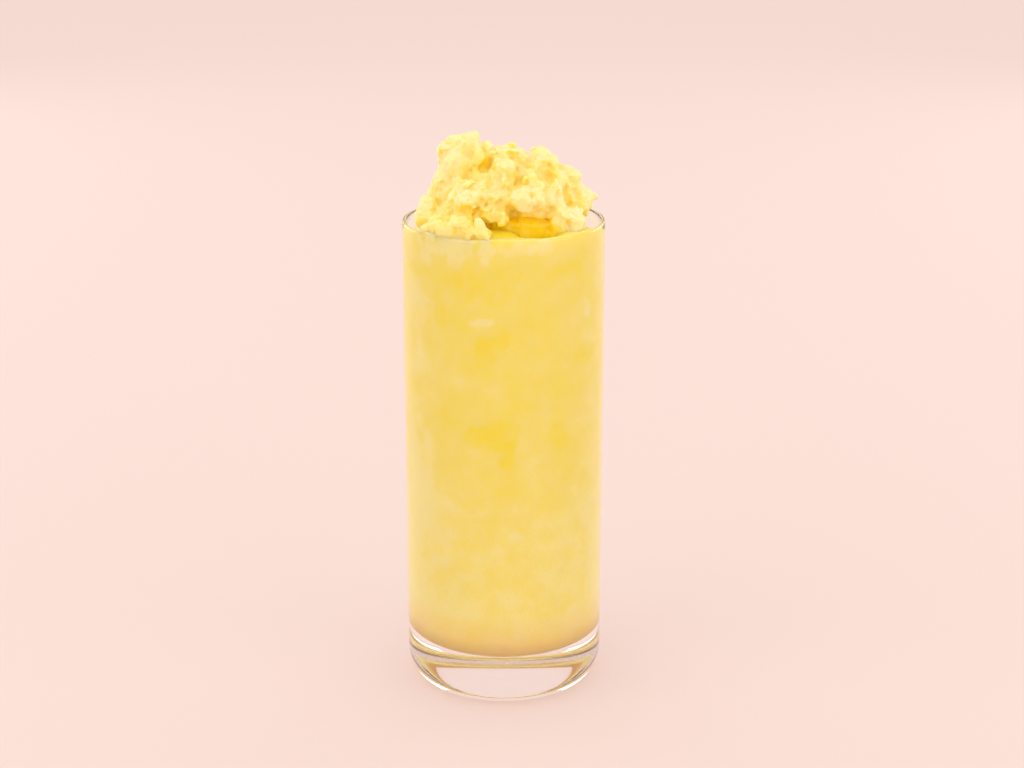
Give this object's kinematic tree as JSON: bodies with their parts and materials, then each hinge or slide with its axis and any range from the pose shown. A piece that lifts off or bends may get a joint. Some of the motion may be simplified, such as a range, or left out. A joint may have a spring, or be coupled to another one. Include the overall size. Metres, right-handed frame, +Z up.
{
  "type": "passion fruit smoothie in a glass",
  "caption": "Frozen passion fruit smoothie in a tall straight clear glass with a thick foot, heaped with craggy slush above the rim.",
  "frame": {"origin": "centre of the glass's foot, on the surface that it stands on", "axes": "+Z up along the glass; -Y is the front, with the heap's tall peak on the -X side and the open shelf of drink on the +X side"},
  "size_m": [0.065, 0.065, 0.1855],
  "materials": {
    "clear_glass": "clear and glossy",
    "frozen_smoothie": "fine icy slush, moist",
    "frozen_slush": "craggy frozen slush, moist"
  },
  "bodies": {
    "root": {"glass": "clear_glass", "smoothie": "frozen_smoothie", "slush_mound": "frozen_slush"}
  },
  "joints": []
}
